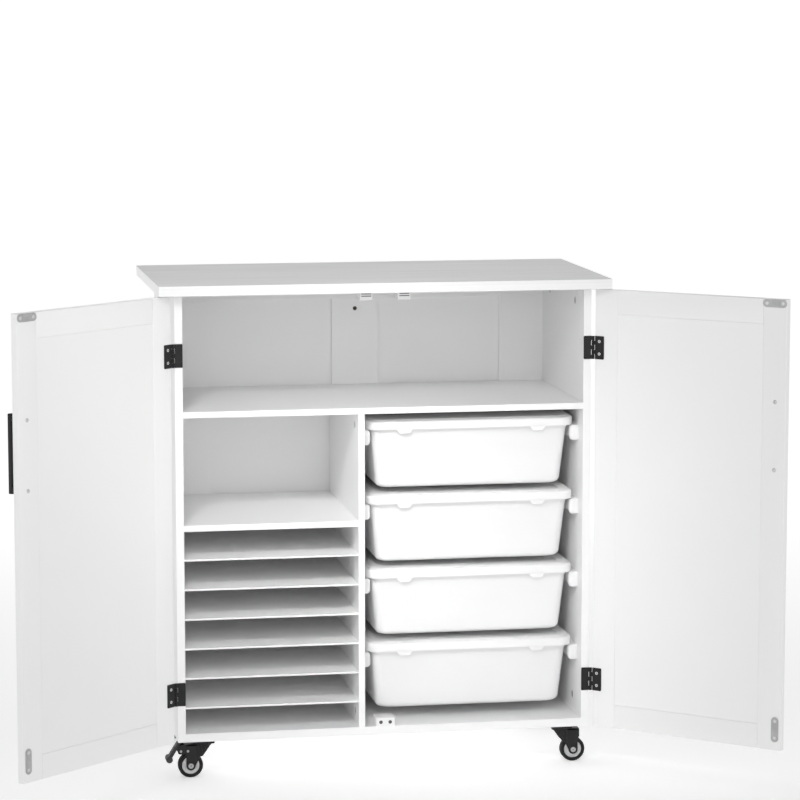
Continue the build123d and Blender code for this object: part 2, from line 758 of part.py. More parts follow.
with BuildPart() as caster_plates:
    for name, plane in caster_sites:
        half_x, half_y = CASTER_PLATE[0] / 2, CASTER_PLATE[1] / 2
        add_board((-half_x, half_x), (-half_y, half_y), (cup_bottom, underside), plane)
        add_board(
            (PLATE_LIP - half_x, half_x - PLATE_LIP),
            (PLATE_LIP - half_y, half_y - PLATE_LIP),
            (cup_bottom, plate_bottom),
            plane,
            mode=Mode.SUBTRACT,
        )
        add_rod(CUP_RADIUS, (cup_bottom, underside), plane)
        cup_inner = CUP_RADIUS - CASTER_PLATE_THICKNESS
        cup_floor = cup_bottom + CASTER_PLATE_THICKNESS
        add_rod(cup_inner, (cup_floor, underside), plane, mode=Mode.SUBTRACT)
        add_rod(KING_PIN_RADIUS + RUNNING, (cup_bottom, underside), plane, mode=Mode.SUBTRACT)
        bolt_levels = (plate_bottom, underside)
        add_rod(PLATE_HOLE_RADIUS, bolt_levels, plane, bolt_spots, mode=Mode.SUBTRACT)
save(caster_plates, "caster_plates")

with BuildPart() as caster_screws:
    for name, plane in caster_sites:
        add_rod(BOLT_HEAD_RADIUS, (plate_bottom - BOLT_HEAD, plate_bottom), plane, bolt_spots)
        add_rod(BOLT_RADIUS, (plate_bottom, underside + BOLT_BITE), plane, bolt_spots)
save(caster_screws, "caster_screws")

for name, plane in caster_sites:
    braked = "left" in name
    axle = axle_plane(plane)
    across = (-fork_outer, fork_outer)
    web_bottom = FORK_WEB_TOP - FORK_LEG
    tail = CASTER_TRAIL + FORK_TAIL
    cheek_tail = CASTER_TRAIL + BRAKE_PIVOT[0] + BRAKE_TAIL if braked else tail
    cheek_foot = WHEEL_RADIUS + BRAKE_PIVOT[1] - BRAKE_TAIL

    with BuildPart() as fork:
        upright = Plane(origin=plane.origin, x_dir=plane.x_dir, z_dir=-plane.y_dir)
        with BuildSketch(upright) as leg:
            with BuildLine():
                lowest = CenterArc((CASTER_TRAIL, WHEEL_RADIUS), FORK_END_RADIUS, 180, 180)
                Polyline(
                    lowest @ 1,
                    (CASTER_TRAIL + FORK_END_RADIUS, cheek_foot),
                    (cheek_tail, cheek_foot),
                    (cheek_tail, web_bottom),
                    (tail, FORK_WEB_TOP),
                    (-FORK_HEEL, FORK_WEB_TOP),
                    FORK_HEEL_FOOT,
                    lowest @ 0,
                )
            make_face()
        for offset_y in (-fork_outer, fork_inner):
            extrude(to_extrude=leg.sketch.moved(Location(upright.z_dir * offset_y)), amount=FORK_LEG)
        add_board((-FORK_HEEL, tail), across, (web_bottom, FORK_WEB_TOP), plane)
        add_rod(FORK_DISC_RADIUS, (web_bottom, cup_bottom - KNUCKLE_GAP), plane)
        add_rod(KING_PIN_RADIUS, (web_bottom, underside - 1), plane)
        head_bottom = cup_bottom + CASTER_PLATE_THICKNESS + HAIRLINE
        add_rod(KING_PIN_HEAD_RADIUS, (head_bottom, underside - 2 * KNUCKLE_GAP), plane)
        if braked:
            pin_hole = BRAKE_PIN_RADIUS + RUNNING
            add_rod(pin_hole, across, axle, (BRAKE_PIVOT,), mode=Mode.SUBTRACT)
        add_rod(AXLE_RADIUS, across, axle)
        for end in (-1, 1):
            add_rod(AXLE_HEAD_RADIUS, (end * fork_outer, end * (fork_outer + AXLE_HEAD)), axle)
    save(fork, f"caster_{name}_fork")

    half_wheel = WHEEL_WIDTH / 2
    with BuildPart() as hub:
        add_rod(HUB_RADIUS, (HUB_RECESS - half_wheel, half_wheel - HUB_RECESS), axle)
        add_rod(HUB_BOSS_RADIUS, (-half_wheel, half_wheel), axle)
        add_rod(AXLE_RADIUS + RUNNING, (-half_wheel, half_wheel), axle, mode=Mode.SUBTRACT)
    save(hub, f"caster_{name}_hub")

    with BuildPart() as tyre:
        add_rod(WHEEL_RADIUS, (-half_wheel, half_wheel), axle)
        fillet(tyre.edges().filter_by(GeomType.CIRCLE), TYRE_ROUND)
        add_rod(HUB_RADIUS, (-half_wheel, half_wheel), axle, mode=Mode.SUBTRACT)
    save(tyre, f"caster_{name}_tyre")

    if braked:
        origin = axle.from_local_coords(Vector(*BRAKE_PIVOT, 0))
        pivot = Plane(origin=origin, x_dir=axle.x_dir, z_dir=axle.z_dir)
        between = fork_inner - 2 * KNUCKLE_GAP
        with BuildPart() as pedal:
            add_rod(BRAKE_HUB_RADIUS, (-between, between), pivot)
            add_rod(BRAKE_PIN_RADIUS, (-fork_outer - 1, fork_outer + 1), pivot)
            run = Vector(*PEDAL_END) - Vector(*PEDAL_START)
            with BuildSketch(pivot) as arm:
                with Locations(Vector(*PEDAL_START) + run / 2):
                    SlotCenterToCenter(run.length, PEDAL_THICKNESS, degrees(atan2(run.Y, run.X)))
            extrude(to_extrude=arm.sketch, amount=between, both=True)
            add_rod(PEDAL_BULB_RADIUS, (-PEDAL_ARM, PEDAL_ARM), pivot, (PEDAL_END,))
        save(pedal, f"brake_pedal_{name}")
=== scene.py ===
"""Looks of the rolling sewing cabinet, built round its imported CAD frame. Lengths are in metres."""

import math

import bmesh
import bpy
import numpy as np
from mathutils import Matrix, Vector


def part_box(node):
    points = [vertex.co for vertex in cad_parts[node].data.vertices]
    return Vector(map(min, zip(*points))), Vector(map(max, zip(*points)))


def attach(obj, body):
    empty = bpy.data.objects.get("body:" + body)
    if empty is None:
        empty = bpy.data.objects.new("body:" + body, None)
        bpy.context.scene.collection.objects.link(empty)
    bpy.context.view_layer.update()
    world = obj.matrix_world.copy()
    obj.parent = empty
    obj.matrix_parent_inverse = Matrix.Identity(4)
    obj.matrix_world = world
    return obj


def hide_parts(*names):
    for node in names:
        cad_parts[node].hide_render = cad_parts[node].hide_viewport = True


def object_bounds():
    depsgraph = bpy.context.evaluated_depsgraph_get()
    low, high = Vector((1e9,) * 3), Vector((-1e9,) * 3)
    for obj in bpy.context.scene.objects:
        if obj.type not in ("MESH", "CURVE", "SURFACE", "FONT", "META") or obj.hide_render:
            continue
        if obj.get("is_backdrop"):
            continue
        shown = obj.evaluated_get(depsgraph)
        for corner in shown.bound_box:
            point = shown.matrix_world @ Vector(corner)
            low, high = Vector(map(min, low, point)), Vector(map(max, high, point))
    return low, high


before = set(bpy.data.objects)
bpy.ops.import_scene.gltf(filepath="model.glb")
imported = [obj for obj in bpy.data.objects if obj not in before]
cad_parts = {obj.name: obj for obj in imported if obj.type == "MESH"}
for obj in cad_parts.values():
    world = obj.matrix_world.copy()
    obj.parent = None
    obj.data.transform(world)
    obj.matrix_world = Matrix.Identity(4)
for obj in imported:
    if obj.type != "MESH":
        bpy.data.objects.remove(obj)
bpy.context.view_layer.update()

MM = 0.001
DOOR_OPEN = math.radians(139)
HANDS = {"left": -1, "right": 1}
CASTERS = {
    f"{row}_{hand}": side for row in ("front", "rear") for hand, side in HANDS.items()
}
BINS = range(1, 5)
UP = Vector((0, 0, 1))
FRONT = Vector((0, -1, 0))

# Sections drawn in a level plane are stood up, with their Y axis as the height
SWAP_YZ = Matrix(((1, 0, 0, 0), (0, 0, 1, 0), (0, 1, 0, 0), (0, 0, 0, 1)))

worktop_low, worktop_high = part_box("worktop")
carcass_top = worktop_low.z
carcass_half = 400 * MM


# ---------------------------------------------------------------- materials
class Surface:
    """A node material under construction: a Principled shader and the textures that feed it."""

    def __init__(self, name, colour, roughness, sockets=()):
        self.material = bpy.data.materials.new(name)
        self.material.use_nodes = True
        self.nodes = self.material.node_tree.nodes
        self.links = self.material.node_tree.links
        self.shader = self.nodes["Principled BSDF"]
        self.colour = colour
        self.shader.inputs["Base Color"].default_value = (*colour, 1)
        self.shader.inputs["Roughness"].default_value = roughness
        for socket, value in dict(sockets).items():
            self.shader.inputs[socket].default_value = value
        self.height = None

    def coordinates(self, stretch=(1, 1, 1)):
        place = self.nodes.new("ShaderNodeTexCoord")
        mapping = self.nodes.new("ShaderNodeMapping")
        mapping.inputs["Scale"].default_value = stretch
        self.links.new(place.outputs["Object"], mapping.inputs["Vector"])
        return mapping.outputs["Vector"]

    def noise(self, scale, detail=3.0, stretch=(1, 1, 1), distortion=0.0):
        noise = self.nodes.new("ShaderNodeTexNoise")
        noise.inputs["Scale"].default_value = scale
        noise.inputs["Detail"].default_value = detail
        noise.inputs["Distortion"].default_value = distortion
        self.links.new(self.coordinates(stretch), noise.inputs["Vector"])
        return noise.outputs["Fac"]

    def ranged(self, value, low, high, start=0.3, end=0.7):
        """Maps a noise value onto a range of numbers."""
        node = self.nodes.new("ShaderNodeMapRange")
        node.inputs["From Min"].default_value = start
        node.inputs["From Max"].default_value = end
        node.inputs["To Min"].default_value = low
        node.inputs["To Max"].default_value = high
        self.links.new(value, node.inputs["Value"])
        return node.outputs["Result"]

    def tint(self, value, darker, start=0.3, end=0.7):
        """Varies the base colour between its own value and a share of it."""
        node = self.nodes.new("ShaderNodeMix")
        node.data_type = "RGBA"
        node.inputs["A"].default_value = (*(c * darker for c in self.colour), 1)
        node.inputs["B"].default_value = (*self.colour, 1)
        self.links.new(self.ranged(value, 0, 1, start, end), node.inputs["Factor"])
        self.links.new(node.outputs["Result"], self.shader.inputs["Base Color"])
        return self

    def rough(self, value, low, high):
        self.links.new(self.ranged(value, low, high), self.shader.inputs["Roughness"])
        return self

    def bump(self, value, strength, distance):
        """Adds a layer of relief; each new layer is carried by the one before."""
        node = self.nodes.new("ShaderNodeBump")
        node.inputs["Strength"].default_value = strength
        node.inputs["Distance"].default_value = distance
        self.links.new(value, node.inputs["Height"])
        if self.height is not None:
            self.links.new(self.height, node.inputs["Normal"])
        self.height = node.outputs["Normal"]
        self.links.new(self.height, self.shader.inputs["Normal"])
        return self


def lacquered_board():
    """White sprayed lacquer on fibreboard: faint mottle, orange peel and soft cloudiness."""
    s = Surface("lacquered_board", (0.935, 0.935, 0.935), 0.42, {"Specular IOR Level": 0.45})
    s.tint(s.noise(3.0, 4), 0.975)
    s.rough(s.noise(9.0, 3), 0.36, 0.5)
    s.bump(s.noise(420.0, 2), 0.10, 0.0003)
    s.bump(s.noise(28.0, 2), 0.05, 0.0008)
    return s.material


def worktop_foil_with_painted_shade():
    """Grey-white foil with a very faint grain along its length. Its grey is partly the foil's own
    tone and partly painted shade, set darker to stand for the shade that the top shows when seen at
    a low angle.
    """
    s = Surface("worktop_foil_with_painted_shade", (0.5, 0.5, 0.5), 0.4, {"Specular IOR Level": 0.4})
    s.tint(s.noise(26.0, 6, stretch=(0.07, 1.0, 1.0), distortion=0.4), 0.94)
    s.rough(s.noise(60.0, 3, stretch=(0.05, 1, 1)), 0.34, 0.48)
    s.bump(s.noise(240.0, 4, stretch=(0.04, 1.0, 1.0)), 0.12, 0.0003)
    return s.material


def edge_band():
    """Bright edging strip of the worktop, with hairline streaks along it."""
    s = Surface("edge_band", (0.93, 0.93, 0.93), 0.35)
    s.tint(s.noise(40.0, 3, stretch=(0.05, 1, 6.0)), 0.95)
    s.rough(s.noise(20.0, 3), 0.3, 0.42)
    s.bump(s.noise(500.0, 2), 0.06, 0.0002)
    return s.material


def polypropylene():
    """White moulded polypropylene: satin, faintly cloudy, with a fine spark-eroded texture."""
    s = Surface("polypropylene", (0.9, 0.9, 0.9), 0.38, {"Subsurface Weight": 0.12})
    s.shader.inputs["Subsurface Radius"].default_value = (0.004, 0.004, 0.004)
    s.shader.inputs["Subsurface Scale"].default_value = 1.0
    s.tint(s.noise(7.0, 3), 0.975)
    s.rough(s.noise(16.0, 3), 0.32, 0.46)
    s.bump(s.noise(900.0, 2), 0.08, 0.0002)
    s.bump(s.noise(14.0, 2), 0.06, 0.001)
    return s.material


def black_powder_coat():
    """Satin black powder coat on steel, with its fine pebbled skin and worn high spots."""
    s = Surface("black_powder_coat", (0.007, 0.007, 0.0073), 0.4, {"Specular IOR Level": 0.22})
    s.tint(s.noise(70.0, 4), 0.55)
    s.rough(s.noise(45.0, 4), 0.32, 0.52)
    s.bump(s.noise(1500.0, 2), 0.25, 0.0002)
    return s.material


def zinc_plate(name, grey):
    """Zinc-plated steel: pale grey, lightly brushed, with cloudy passivation."""
    s = Surface(name, (grey, grey, grey * 1.01), 0.4, {"Metallic": 1.0})
    s.tint(s.noise(55.0, 4), 0.78)
    s.rough(s.noise(130.0, 4, stretch=(1, 1, 0.1)), 0.28, 0.48)
    s.bump(s.noise(900.0, 3, stretch=(1, 1, 0.08)), 0.15, 0.0001)
    return s.material


def hub_plastic():
    """Light grey nylon of the wheel hubs, slightly mottled and scuffed."""
    s = Surface("hub_plastic", (0.56, 0.56, 0.57), 0.4)
    s.tint(s.noise(160.0, 4), 0.86)
    s.rough(s.noise(220.0, 3), 0.3, 0.5)
    s.bump(s.noise(1400.0, 2), 0.12, 0.0001)
    return s.material


def tyre_rubber():
    """Black rubber tread with a matt bloom and fine scuffs round the wheel."""
    s = Surface("tyre_rubber", (0.007, 0.007, 0.007), 0.7, {"Specular IOR Level": 0.2})
    s.tint(s.noise(120.0, 5), 0.6)
    s.rough(s.noise(90.0, 4), 0.55, 0.82)
    s.bump(s.noise(1100.0, 4), 0.35, 0.0002)
    return s.material


def pedal_plastic():
    """Dark grey nylon of the brake pedals, with a grained grip."""
    s = Surface("pedal_plastic", (0.024, 0.024, 0.025), 0.5, {"Specular IOR Level": 0.3})
    s.tint(s.noise(110.0, 4), 0.7)
    s.rough(s.noise(150.0, 3), 0.42, 0.6)
    s.bump(s.noise(1000.0, 2), 0.3, 0.0002)
    return s.material


def ferrite():
    """Dark sintered magnet behind its steel strips."""
    s = Surface("ferrite", (0.09, 0.09, 0.095), 0.5, {"Metallic": 0.6})
    s.tint(s.noise(300.0, 4), 0.6)
    s.rough(s.noise(250.0, 3), 0.4, 0.6)
    s.bump(s.noise(900.0, 2), 0.2, 0.0001)
    return s.material


def fibreboard_core():
    """Raw medium-density fibreboard inside a drilled hole."""
    s = Surface("fibreboard_core", (0.2, 0.16, 0.12), 0.9, {"Specular IOR Level": 0.2})
    s.tint(s.noise(600.0, 5), 0.6)
    s.bump(s.noise(1500.0, 4), 0.5, 0.0003)
    return s.material


def studio_floor():
    """Plain pale sweep, faintly mottled, that brightens with its distance from the object."""
    s = Surface("studio_floor", (0.9, 0.9, 0.9), 0.75, {"Specular IOR Level": 0.1})
    s.tint(s.noise(0.7, 2), 0.99)
    distance = s.nodes.new("ShaderNodeVectorMath")
    distance.operation = "LENGTH"
    s.links.new(s.coordinates(), distance.inputs[0])
    glow = s.ranged(distance.outputs["Value"], low=0.37, high=0.65, start=0.8, end=5.0)
    s.shader.inputs["Emission Color"].default_value = (1, 1, 1, 1)
    s.links.new(glow, s.shader.inputs["Emission Strength"])
    return s.material


WHITE = lacquered_board()
SHADED_TOP_FOIL = worktop_foil_with_painted_shade()
EDGE = edge_band()
PLASTIC = polypropylene()
BLACK = black_powder_coat()
ZINC = zinc_plate("zinc_plate", 0.46)
BRIGHT_ZINC = zinc_plate("bright_zinc", 0.75)
HUB = hub_plastic()
RUBBER = tyre_rubber()
PEDAL = pedal_plastic()
FERRITE = ferrite()
CORE = fibreboard_core()


# ---------------------------------------------------------------- mesh helpers
SAME_POINT = 1e-6
FACE_DEPTH = 2e-5
SHARP_EDGE = math.radians(40)
WELD_GAP = 0.01 * MM


def add_piece(name, bm, material, body, replaces=(), bevel=0.0, angle=30):
    """Turns a bmesh into a shaded piece that rides on a CAD body and stands for CAD nodes."""
    bmesh.ops.remove_doubles(bm, verts=bm.verts, dist=SAME_POINT)
    bmesh.ops.recalc_face_normals(bm, faces=bm.faces)
    mesh = bpy.data.meshes.new(name)
    bm.to_mesh(mesh)
    bm.free()
    mesh.materials.append(material)
    piece = bpy.data.objects.new(name, mesh)
    bpy.context.scene.collection.objects.link(piece)
    if bevel:
        round_edges(piece, bevel)
    mesh.shade_smooth()
    mesh.set_sharp_from_angle(angle=math.radians(angle))
    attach(piece, body)
    if replaces:
        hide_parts(*replaces)


def round_edges(piece, width, segments=2):
    """Softens a piece's sharp edges with a bevel whose shading stays flat on the faces."""
    bevel = piece.modifiers.new("edge", "BEVEL")
    bevel.width = width
    bevel.segments = segments
    bevel.limit_method = "ANGLE"
    bevel.angle_limit = SHARP_EDGE
    bevel.harden_normals = True


def finish_node(name, material, bevel=0.0, segments=2, holed=False):
    """Gives a CAD node its material, and softens its edges. A board with holes in it has its
    flat faces joined up first, so that the bevel runs true."""
    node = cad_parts[name]
    node.data.materials.clear()
    node.data.materials.append(material)
    if bevel:
        weld = node.modifiers.new("weld", "WELD")
        weld.merge_threshold = WELD_GAP
        if holed:
            flat = node.modifiers.new("flat", "DECIMATE")
            flat.decimate_type = "DISSOLVE"
            flat.angle_limit = math.radians(1)
            flat.delimit = {"MATERIAL"}
        round_edges(node, bevel, segments)
    return node


def loft(bm, loops, cap_start=True, cap_end=True):
    """Skins a run of closed loops that have the same number of points."""
    rows = [[bm.verts.new(p) for p in loop] for loop in loops]
    for a, b in zip(rows, rows[1:]):
        for i in range(len(a)):
            j = (i + 1) % len(a)
            bm.faces.new((a[i], a[j], b[j], b[i]))
    if cap_start:
        bm.faces.new(reversed(rows[0]))
    if cap_end:
        bm.faces.new(rows[-1])


def rounded_loop(centre, half_x, half_y, radius, z, steps=10):
    """Rounded rectangle in a level plane, as a list of points."""
    points = []
    for quarter, (sx, sy) in enumerate(((1, 1), (-1, 1), (-1, -1), (1, -1))):
        cx = centre.x + sx * (half_x - radius)
        cy = centre.y + sy * (half_y - radius)
        for k in range(steps + 1):
            a = math.radians(90 * quarter) + math.pi / 2 * k / steps
            points.append(Vector((cx + radius * math.cos(a), cy + radius * math.sin(a), z)))
    return points


def arc(cx, cy, radius, start, end, steps=5):
    """Points of an arc in a profile, with its angles in degrees."""
    angles = [math.radians(start + (end - start) * k / steps) for k in range(steps + 1)]
    return [(cx + radius * math.cos(a), cy + radius * math.sin(a)) for a in angles]


def lathe(bm, profile, matrix, steps=48, ring=False):
    """Turns a profile of (radius, height) points about the matrix's Z axis. A ring's profile is a
    closed loop that stays clear of the axis."""
    loops = []
    for radius, height in profile + profile[:1] * ring:
        turn = [2 * math.pi * k / steps for k in range(steps)]
        loops.append(
            [
                matrix @ Vector((radius * math.cos(a), radius * math.sin(a), height))
                for a in turn
            ]
        )
    loft(bm, loops, not ring, not ring)


def slab(bm, outline, low, high, matrix):
    """Extrudes an outline of (x, y) points between two heights of the matrix's Z axis."""
    loft(bm, [[matrix @ Vector((x, y, h)) for x, y in outline] for h in (low, high)])


def rounded_outline(points, radii, steps=5):
    """A polygon whose corners are rounded, each to its own radius."""
    result = []
    count = len(points)
    for i, (point, radius) in enumerate(zip(points, radii)):
        p = Vector(point)
        before = (Vector(points[i - 1]) - p).normalized()
        after = (Vector(points[(i + 1) % count]) - p).normalized()
        if radius <= 0:
            result.append(tuple(p))
            continue
        half = before.angle(after) / 2
        start = p + before * radius / math.tan(half)
        end = p + after * radius / math.tan(half)
        centre = p + (before + after).normalized() * radius / math.sin(half)
        for k in range(steps + 1):
            t = k / steps
            way = (start - centre).lerp(end - centre, t).normalized()
            result.append(tuple(centre + way * radius))
    return result


def facing(point, normal, up=UP):
    """Matrix at a point whose Z axis is the normal. Its X axis is as near up as it can be, or as
    near the front when the normal is upright."""
    z = Vector(normal).normalized()
    up = Vector(up) if abs(z.z) < 0.9 else FRONT
    x = (up - z * up.dot(z)).normalized()
    y = z.cross(x)
    return Matrix.Translation(point) @ Matrix((x, y, z)).transposed().to_4x4()


def solids(node):
    """The separate solids of a CAD node, each as an array of its points."""
    bm = bmesh.new()
    bm.from_mesh(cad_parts[node].data)
    bmesh.ops.remove_doubles(bm, verts=bm.verts, dist=SAME_POINT)
    seen, found = set(), []
    for start in bm.verts:
        if start in seen:
            continue
        group, queue = [], [start]
        seen.add(start)
        while queue:
            vertex = queue.pop()
            group.append(vertex.co[:])
            for edge in vertex.link_edges:
                other = edge.other_vert(vertex)
                if other not in seen:
                    seen.add(other)
                    queue.append(other)
        found.append(np.array(group))
    bm.free()
    return found


def end_centre(points, direction):
    """Middle of the face that a solid turns towards a direction."""
    reach = points @ np.array(direction)
    return Vector(points[reach > reach.max() - FACE_DEPTH].mean(0))


# Shares of the radius of a screw head
CROSS_LENGTH = 0.56
CROSS_WIDTH = 0.13
CROSS_DEPTH = 0.45


def screw_template(dome):
    """Mesh of a screw head of unit radius about +Z, domed, with a cross recess cut into it."""
    bm = bmesh.new()
    profile = [(0.01, -0.7), (0.92, -0.7), (1, -0.2), (1, 0)]
    profile += [(math.cos(a), dome * math.sin(a)) for a in np.linspace(0.2, 1.56, 6)]
    lathe(bm, profile, Matrix.Identity(4), 32)
    head = bpy.data.meshes.new("screw_head")
    bm.to_mesh(head)
    bm.free()
    bm = bmesh.new()
    for turn in (0, 90):
        matrix = Matrix.Rotation(math.radians(turn), 4, "Z")
        signs = ((-1, -1), (1, -1), (1, 1), (-1, 1))
        slot = [(x * CROSS_LENGTH, y * CROSS_WIDTH) for x, y in signs]
        slab(bm, slot, dome - CROSS_DEPTH, dome + 1, matrix)
    cutter = bpy.data.meshes.new("cross_recess")
    bm.to_mesh(cutter)
    bm.free()
    parts = [bpy.data.objects.new(m.name, m) for m in (head, cutter)]
    for part in parts:
        bpy.context.scene.collection.objects.link(part)
    cut = parts[0].modifiers.new("cut", "BOOLEAN")
    cut.object = parts[1]
    cut.solver = "EXACT"
    cut.use_self = True
    cut.operation = "DIFFERENCE"
    shaped = bpy.data.meshes.new_from_object(
        parts[0].evaluated_get(bpy.context.evaluated_depsgraph_get())
    )
    for part in parts:
        bpy.data.objects.remove(part)
    return shaped


def add_mesh(bm, mesh, matrix):
    """Adds a transformed copy of a mesh."""
    copy = mesh.copy()
    copy.transform(matrix)
    bm.from_mesh(copy)
    bpy.data.meshes.remove(copy)


# ---------------------------------------------------------------- boards
BOARD_EDGE = 0.6 * MM
STRAP_HOLE_DROP = 69 * MM
STRAP_HOLE_REACH = 4.2 * MM

for node in (
    "bottom_panel",
    "back_panel_left",
    "back_panel_right",
    "back_top_rail",
    "upper_shelf",
    "left_shelf",
    *(f"paper_shelf_{i}" for i in range(1, 7)),
):
    finish_node(node, WHITE, BOARD_EDGE)
for node in ("left_side_panel", "right_side_panel", "divider", "back_stiles"):
    finish_node(node, WHITE, BOARD_EDGE, holed=True)

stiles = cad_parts["back_stiles"]
stiles.data.materials.append(CORE)
for face in stiles.data.polygons:
    drop = carcass_top - face.center.z
    off_centre = max(abs(face.center.x), abs(drop - STRAP_HOLE_DROP))
    face.material_index = 1 if off_centre < STRAP_HOLE_REACH else 0

# The worktop's level faces take the darker foil, whose grey is partly painted shade; its upright
# edges take the edge band
worktop = finish_node("worktop", SHADED_TOP_FOIL)
worktop.data.materials.append(EDGE)
for face in worktop.data.polygons:
    face.material_index = 1 if abs(face.normal.z) < 0.5 else 0

# ---------------------------------------------------------------- fasteners and catches
finish_node("cam_locks", ZINC)
finish_node("hinge_pins", BLACK)
finish_node("catch_magnets", FERRITE, 0.15 * MM)
finish_node("magnetic_catches", PLASTIC, 0.9 * MM, 3)

FLAT_DOME = 0.06
PAN_DOME = 0.42
FLAT_HEAD = screw_template(FLAT_DOME)
PAN_HEAD = screw_template(PAN_DOME)
WIDEST_FLAT_HEAD = 3.4 * MM
HEAD_PROUD = 0.1 * MM
WIDEST_CAM_BOLT = 12 * MM
CAM_FACE_SHARE = 0.92


def add_screws(name, node, direction, material, body):
    """Screw heads on the ends that a node's screws turn towards a direction. The small
    countersunk heads are flat, and the wider ones are domed."""
    bm = bmesh.new()
    for points in solids(node):
        centre = end_centre(points, direction)
        axes = np.array(facing(centre, direction).to_3x3())
        across = (points - np.array(centre)) @ axes[:, :2]
        radius = np.linalg.norm(across, axis=1).max()
        flat = radius < WIDEST_FLAT_HEAD
        template, dome = (FLAT_HEAD, FLAT_DOME) if flat else (PAN_HEAD, PAN_DOME)
        centre -= Vector(direction).normalized() * (dome * radius - HEAD_PROUD)
        add_mesh(bm, template, facing(centre, direction) @ Matrix.Scale(radius, 4))
    add_piece(name, bm, material, body, (node,))


add_screws("hinge_screw_heads", "hinge_screws", FRONT, BLACK, "root")
add_screws("caster_bolt_heads", "caster_screws", -UP, ZINC, "root")

bm = bmesh.new()
for points in solids("cam_locks"):
    size = points.max(0) - points.min(0)
    if size[1] > WIDEST_CAM_BOLT:
        middle = points.mean(0)
        on_divider = abs(middle[0]) < carcass_half / 2
        inward = -1 if on_divider else -math.copysign(1, middle[0])
        centre = end_centre(points, (inward, 0, 0))
        radius = size[1] / 2 * CAM_FACE_SHARE
        matrix = facing(centre, (inward, 0, 0)) @ Matrix.Scale(radius, 4)
        add_mesh(bm, FLAT_HEAD, matrix)
add_piece("cam_lock_faces", bm, ZINC, "root")

# ---------------------------------------------------------------- hinges
KNUCKLE = 3.0 * MM
KNUCKLE_GAP = 0.3 * MM
KNUCKLES = 5
LEAF = 1.35 * MM
LEAF_FACE = 1.5 * MM
HINGE_HEIGHT = 45 * MM
HINGE_PIN = 1.5 * MM
BARREL_BORE = 1.55 * MM
BARREL_CHAMFER = 0.4 * MM
LEAF_CORNER = 2.2 * MM
LEAF_EDGE = 0.25 * MM
pin_low, pin_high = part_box("hinge_pins")
PIN_X = pin_high.x - HINGE_PIN
PIN_Y = (pin_low.y + pin_high.y) / 2


def hinge_matrix(side, opening):
    """Frame of a leaf: X runs away from the pin, Y points to the side that the screws are on,
    and Z points up. A door's leaf is opened by its angle, and a fixed leaf isn't."""
    along = Vector((-side * math.cos(opening), -math.sin(opening), 0))
    outward = Vector((side * math.sin(opening), -math.cos(opening), 0))
    matrix = Matrix((along, outward, UP)).transposed().to_4x4()
    return Matrix.Translation((side * PIN_X, PIN_Y, 0)) @ matrix


def local_box(node, matrix):
    """Lowest and highest corner of a node in another frame."""
    inverse = matrix.inverted()
    points = np.array([inverse @ v.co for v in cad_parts[node].data.vertices])
    return Vector(points.min(0)), Vector(points.max(0))


def add_leaf(bm, matrix, facing_side, bottom, reach, first):
    """A hinge leaf with rounded corners and every second knuckle, the first one named."""
    pitch = HINGE_HEIGHT / KNUCKLES
    top = bottom + HINGE_HEIGHT
    clear = KNUCKLE + 2 * KNUCKLE_GAP
    outline, radii = [], []
    for index in range(KNUCKLES):
        own = index % 2 == first % 2
        edge, trim = (0, KNUCKLE_GAP / 2) if own else (clear, -KNUCKLE_GAP / 2)
        low = bottom + index * pitch + trim
        high = low + pitch - 2 * trim
        outline += [(edge, max(low, bottom)), (edge, min(high, top))]
        radii += [0, 0]
    outline += [(reach, top), (reach, bottom)]
    radii += [LEAF_CORNER, LEAF_CORNER]
    levels = sorted((facing_side * LEAF_FACE, facing_side * (LEAF_FACE - LEAF)))
    slab(bm, rounded_outline(outline, radii), *levels, matrix @ SWAP_YZ)
    narrow = KNUCKLE - BARREL_CHAMFER
    for index in range(first, KNUCKLES, 2):
        low = bottom + index * pitch + KNUCKLE_GAP / 2
        high = low + pitch - KNUCKLE_GAP
        barrel = [(BARREL_BORE, low), (narrow, low), (KNUCKLE, low + BARREL_CHAMFER)]
        barrel += [(KNUCKLE, high - BARREL_CHAMFER), (narrow, high), (BARREL_BORE, high)]
        lathe(bm, barrel, matrix, 24, ring=True)


bm = bmesh.new()
for points in solids("carcass_hinge_leaves"):
    side = 1 if points[:, 0].mean() > 0 else -1
    low, high = points.min(0), points.max(0)
    reach = high[0] - low[0] - KNUCKLE
    add_leaf(bm, hinge_matrix(side, 0), -1, low[2], reach, 0)
leaves = ("carcass_hinge_leaves",)
add_piece("fixed_hinge_leaves", bm, BLACK, "root", leaves, LEAF_EDGE)


# ---------------------------------------------------------------- doors
HANDLE_BAR = 9 * MM
HANDLE_CORNER = 1.6 * MM
HANDLE_CENTRES = 128 * MM

# A foot's section in millimetres: (flare beyond the bar, height above the door)
HANDLE_FOOT_INSET = 0.3
HANDLE_FLARE = ((2.2, 0), (2.2, 1.0), (1.6, 1.5), (0.5, 2.6), (0.05, 4.2), (0, 6), (0, 22))


